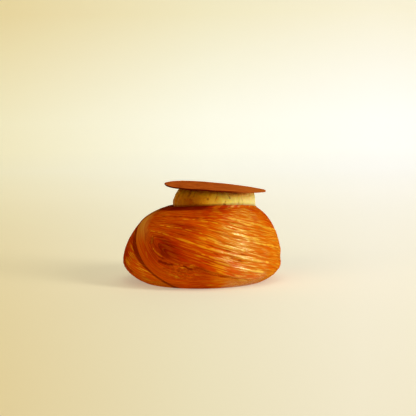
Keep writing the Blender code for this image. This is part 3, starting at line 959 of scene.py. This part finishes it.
def crust_material():
    """Glazed crust: a tone from red brown to golden, pale crests, dark crevices and painted shade.
    """
    n = Nodes("baked_crust")
    along, across = n.attribute("flow"), n.attribute("across")
    stripes = n.stripes(n.math("MULTIPLY", along, 0.06), across)
    pale_hairs = n.hairlines(n.math("MULTIPLY", along, 0.13), n.math("MULTIPLY", across, 2.5), 3.0)
    dark_hairs = n.hairlines(n.math("MULTIPLY", along, 0.08), n.math("MULTIPLY", across, 1.9), 8.0)
    fine = n.math("MULTIPLY", pale_hairs, n.attribute("fine"))
    pale = n.math("ADD", n.attribute("pale"), fine, clamp=True)
    dark = n.math("ADD", n.attribute("dark"), n.math("MULTIPLY", dark_hairs, 0.22), clamp=True)
    shine = n.math("MAXIMUM", pale, pale_hairs)
    unshaded = n.spread(dark, 0.0, 0.3, 1.0, 0.2)
    glint = n.math("MULTIPLY", n.spread(shine, 0.0, 1.0, 0.07, 1.0), unshaded)
    position = n.new("ShaderNodeTexCoord").outputs["Object"]
    speckle = n.texture(position, 900.0, 2.0)
    tone = n.math("ADD", n.attribute("tone"), n.spread(stripes, 0.3, 0.7, -0.13, 0.13))
    base = n.ramp(tone, (
        (0.0, (0.17, 0.007, 0.0002)),
        (0.3, (0.42, 0.026, 0.0004)),
        (0.55, (0.62, 0.080, 0.0007)),
        (0.78, (0.67, 0.165, 0.003)),
        (1.0, (0.76, 0.31, 0.02)),
    ))
    crests = n.ramp(tone, (
        (0.25, (0.62, 0.16, 0.002)),
        (0.55, (0.84, 0.34, 0.008)),
        (0.85, (0.96, 0.60, 0.050)),
    ))
    streaked = n.math("MULTIPLY", n.attribute("ochre"), n.spread(stripes, 0.35, 0.6, 0.45, 1.0))
    golden = n.mix(streaked, base, OCHRE)
    lined = n.mix(n.math("MULTIPLY", pale, 0.85), golden, crests)
    # The dark value mixes in dark crevices and painted shade
    shaded = n.mix(n.math("MULTIPLY", dark, 0.88), lined, CREVICE_AND_SHADE)
    rough = n.math("ADD", n.spread(stripes, 0.3, 0.7, 0.2, 0.3), n.math("MULTIPLY", speckle, 0.06))
    ridges = n.math("ADD", stripes, n.math("MULTIPLY", shine, 0.9))
    height = n.math("ADD", ridges, n.math("MULTIPLY", speckle, 0.15))
    return n.finish(
        Base_Color=shaded,
        Roughness=rough,
        Normal=n.bump(height, 0.6, 0.2 * MM),
        IOR=1.7,
        Specular_IOR_Level=n.math("MULTIPLY", n.attribute("gloss"), glint),
        Specular_Tint=(1.0, 0.88, 0.68, 1.0),
    )


def cream_material():
    """Nut cream: light yellow to the right, brown painted shade to the left, and soft to the light.
    """
    n = Nodes("nut_cream")
    position = n.new("ShaderNodeTexCoord").outputs["Object"]
    cloud = n.texture(position, 260.0, 4.0)
    fine = n.texture(position, 1400.0, 3.0)
    side = n.new("ShaderNodeSeparateXYZ", {0: position}).outputs[0]
    place = n.math("ADD", n.spread(side, -14 * MM, 26 * MM), n.spread(cloud, 0.3, 0.7, -0.06, 0.06))
    # Painted shade: browner and darker towards the left, away from the key
    base = n.ramp(place, (
        (0.0, (0.57, 0.20, 0.005)),
        (0.1, (0.45, 0.13, 0.001)),
        (0.22, (0.44, 0.10, 0.0006)),
        (0.35, (0.66, 0.25, 0.006)),
        (0.48, (0.95, 0.43, 0.020)),
        (0.6, (1.0, 0.60, 0.075)),
        (0.75, (1.0, 0.76, 0.16)),
        (1.0, (0.94, 0.75, 0.26)),
    ))
    # Painted shade: a deeper tint up the side, the disc's shadow with the dust, and shade at pores
    # and foot
    deep = n.mix(n.math("MULTIPLY", n.attribute("deep"), 0.55), base, CREAM_SHADE_TINT)
    dusted_and_shaded = n.mix(n.math("MULTIPLY", n.attribute("dust_and_shadow"), 0.65), deep, COCOA_DUST_AND_SHADOW)
    colour = n.mix(n.math("MULTIPLY", n.attribute("marks_and_shade"), 0.8), dusted_and_shaded, CREAM_MARK_AND_SHADE)
    return n.finish(
        Base_Color=colour,
        Roughness=n.spread(fine, 0.3, 0.7, 0.45, 0.65),
        Normal=n.bump(fine, 0.5, 0.12 * MM),
        IOR=1.15,
        Specular_Tint=(1.0, 0.8, 0.5, 1.0),
        Subsurface_Weight=0.7,
        Subsurface_Radius=(1.0, 0.8, 0.4),
        Subsurface_Scale=6 * MM,
    )


def cocoa_material():
    """Dry cocoa biscuit, mottled and grained, with painted shade on its underside and lower rim."""
    n = Nodes("cocoa")
    position = n.new("ShaderNodeTexCoord").outputs["Object"]
    cloud = n.texture(position, 210.0, 4.0)
    grain = n.texture(position, 1500.0, 3.0, 0.7)
    base = n.ramp(cloud, ((0.35, (0.33, 0.052, 0.0060)), (0.65, (0.54, 0.115, 0.0130))))
    grained = n.mix(n.spread(grain, 0.45, 0.75, 0.0, 0.5), base, COCOA_GRAIN)
    side = n.new("ShaderNodeSeparateXYZ", {0: position}).outputs[0]
    lighter = n.mix(n.spread(side, 6 * MM, 28 * MM, 0.0, 0.5), grained, COCOA_RIGHT)
    # Painted shade on the underside and lower rim
    colour = n.mix(n.attribute("rim"), lighter, COCOA_RIM_SHADE)
    return n.finish(
        Base_Color=colour,
        Roughness=n.spread(grain, 0.3, 0.7, 0.65, 0.85),
        Normal=n.bump(grain, 0.6, 0.1 * MM),
        Specular_IOR_Level=0.0,
    )


def stage_material():
    """Pale, darker and warmer to the left and further out, and glowing faintly: painted light and
    shade.
    """
    n = Nodes("stage")
    position = n.new("ShaderNodeTexCoord").outputs["Object"]
    split = n.new("ShaderNodeSeparateXYZ", {0: position})
    depth = n.math("MAXIMUM", n.math("ADD", split.outputs[1], 0.7), 0.2)
    side = n.math("DIVIDE", split.outputs[0], depth)
    # Painted shade: darker and warmer to the left, away from the key
    across = n.spread(side, -0.5, 0.5)
    warm = n.ramp(across, (
        (0.0, (0.47, 0.36, 0.16)),
        (0.33, (0.72, 0.63, 0.37)),
        (0.5, (0.77, 0.74, 0.55)),
        (0.64, (0.82, 0.80, 0.67)),
        (1.0, (0.82, 0.80, 0.68)),
    ))
    light = n.ramp(across, (
        (0.0, (0.52, 0.44, 0.26)),
        (0.33, (0.81, 0.79, 0.60)),
        (0.5, (0.87, 0.90, 0.85)),
        (0.64, (0.90, 0.93, 0.97)),
        (1.0, (0.90, 0.92, 0.97)),
    ))
    low = n.spread(split.outputs[2], 0.3, 0.05)
    far = n.math("MINIMUM", n.spread(split.outputs[1], -0.3, 1.0), low)
    colour = n.mix(far, warm, light)
    # Darker towards the front and the far sides, so the bun reflects less of it
    front = n.spread(split.outputs[1], -1.0, -0.4, 0.25, 0.8)
    front = n.math("ADD", front, n.spread(split.outputs[1], -0.3, 0.6, 0.0, 0.2))
    seen = n.math("MULTIPLY", front, n.spread(n.math("ABSOLUTE", side), 0.35, 0.8, 1.0, 0.25))
    shown = n.mix(seen, (0.0, 0.0, 0.0), colour)
    return n.finish(
        Base_Color=shown,
        Roughness=0.8,
        Specular_IOR_Level=0.1,
        # Painted light: the stage glows with its own colour
        Emission_Color=shown,
        Emission_Strength=0.45,
    )


# ---------------------------------------------------------------- stage, lights, camera


def stage():
    """A pale floor that curves up into a low wall all round."""
    profile = [(0.0, 0.0), (0.2, 0.0), (0.6, 0.0), (FLOOR_RADIUS, 0.0)]
    for k in range(1, COVE_STEPS + 1):
        turn = pi / 2 * k / COVE_STEPS
        out, up = COVE_RADIUS * sin(turn), COVE_RADIUS * (1 - cos(turn))
        profile.append((FLOOR_RADIUS + out, up))
    profile.append((FLOOR_RADIUS + COVE_RADIUS, WALL_HEIGHT))
    columns = STAGE_COLUMNS
    vertices, faces = [], []
    for radius, level in profile:
        for k in range(columns):
            turn = 2 * pi * k / columns
            vertices.append((radius * cos(turn), radius * sin(turn), level))
    for i in range(len(profile) - 1):
        row, next_row = i * columns, (i + 1) * columns
        for k in range(columns):
            after = (k + 1) % columns
            faces.append((row + k, row + after, next_row + after, next_row + k))
    mesh = bpy.data.meshes.new("stage")
    mesh.from_pydata(vertices, [], faces)
    mesh.shade_smooth()
    mesh.materials.append(stage_material())
    obj = bpy.data.objects.new("stage", mesh)
    bpy.context.scene.collection.objects.link(obj)


def area_light(name, azimuth, elevation, distance, size, power, colour):
    """A soft light that looks at the bun. Azimuth runs from the front towards +X."""
    data = bpy.data.lights.new(name, "AREA")
    data.shape = "RECTANGLE"
    data.size, data.size_y = size
    data.energy = power
    data.color = colour
    light = bpy.data.objects.new(name, data)
    bpy.context.scene.collection.objects.link(light)
    a, e = radians(azimuth), radians(elevation)
    target = Vector((0.0, 0.0, 25 * MM))
    light.location = target + distance * Vector((sin(a) * cos(e), -cos(a) * cos(e), sin(e)))
    light.rotation_euler = (target - light.location).to_track_quat("-Z", "Y").to_euler()
    return light


def lighting():
    """A soft key from the right, a broad top and fill, one light on the wall, a dim world."""
    area_light("key", 61, 22, 1.3, (0.32, 1.0), 12.2, (1.0, 0.95, 0.86))
    area_light("top", 25, 76, 1.4, (1.2, 1.2), 4.0, (1.0, 0.93, 0.80))
    area_light("fill", -40, 25, 1.3, (1.0, 0.8), 5.5, (1.0, 0.80, 0.50))
    wall = area_light("wall", 165, 50, 2.0, (1.6, 0.8), 6.0, (1.0, 0.98, 0.92))
    aim = Vector((0.1, 2.2, 0.6)) - wall.location
    wall.rotation_euler = aim.to_track_quat("-Z", "Y").to_euler()
    world = bpy.data.worlds.new("world")
    world.use_nodes = True
    background = world.node_tree.nodes["Background"]
    background.inputs["Color"].default_value = (1.0, 0.86, 0.62, 1.0)
    background.inputs["Strength"].default_value = 0.25
    bpy.context.scene.world = world


def camera():
    """The photograph's view: the aim point appears at its pixel, and the camera rolls."""
    eye = AIM_POINT + CAMERA_DISTANCE * Vector((0, -cos(CAMERA_ELEVATION), sin(CAMERA_ELEVATION)))
    towards = (AIM_POINT - eye).normalized()
    right = Vector((1, 0, 0))
    up = right.cross(towards)
    middle = FRAME_PIXELS / 2
    turn_x = (AIM_PIXEL[0] - middle) / FOCAL_PIXELS
    turn_y = (AIM_PIXEL[1] - middle) / FOCAL_PIXELS
    forward = (towards + up * turn_y - right * turn_x).normalized()
    right = forward.cross(Vector((0, 0, 1))).normalized()
    up = right.cross(forward)
    c, s = cos(CAMERA_ROLL), sin(CAMERA_ROLL)
    right, up = c * right - s * up, s * right + c * up
    data = bpy.data.cameras.new("camera")
    data.sensor_width = SENSOR_WIDTH
    data.lens = FOCAL_PIXELS / FRAME_PIXELS * SENSOR_WIDTH
    data.clip_start = 0.01
    data.clip_end = 20.0
    obj = bpy.data.objects.new("camera", data)
    rotation = Matrix((right, up, -forward)).transposed().to_4x4()
    obj.matrix_world = Matrix.Translation(eye) @ rotation
    bpy.context.scene.collection.objects.link(obj)
    bpy.context.scene.camera = obj


# ---------------------------------------------------------------- the scene


def dress(piece, node):
    """Fixes a piece to the part's one body, in place of its CAD node."""
    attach(piece, "root")
    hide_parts(node)


def build_pastry(offset):
    """The wraps, the cream and the disc, moved by the offset."""
    crust = crust_material()
    for k, wrap in enumerate(WRAPS):
        after = WRAPS[(k + 1) % len(WRAPS)]
        width = (after.foot_angle - wrap.foot_angle) % (2 * pi)
        points, values = wrap_surface(wrap, width)
        dress(grid_mesh(wrap.name, points + offset, False, crust, values), "bun")
    points, values = cream_surface()
    cream = grid_mesh("cream_puck", points + offset, True, cream_material(), values)
    dress(cream, "cream")
    points, values = disc_surface()
    disc = grid_mesh("cocoa_round", points + offset, True, cocoa_material(), values)
    dress(disc, "cocoa_disc")


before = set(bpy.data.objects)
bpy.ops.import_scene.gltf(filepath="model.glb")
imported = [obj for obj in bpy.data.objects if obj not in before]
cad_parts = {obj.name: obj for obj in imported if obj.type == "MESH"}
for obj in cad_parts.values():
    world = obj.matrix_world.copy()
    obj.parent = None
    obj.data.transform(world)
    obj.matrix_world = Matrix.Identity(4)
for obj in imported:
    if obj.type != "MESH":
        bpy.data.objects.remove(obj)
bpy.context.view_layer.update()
build_pastry(foot_offset(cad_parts["bun"]))
stage()
lighting()
camera()
bpy.context.scene.view_settings.view_transform = "Standard"
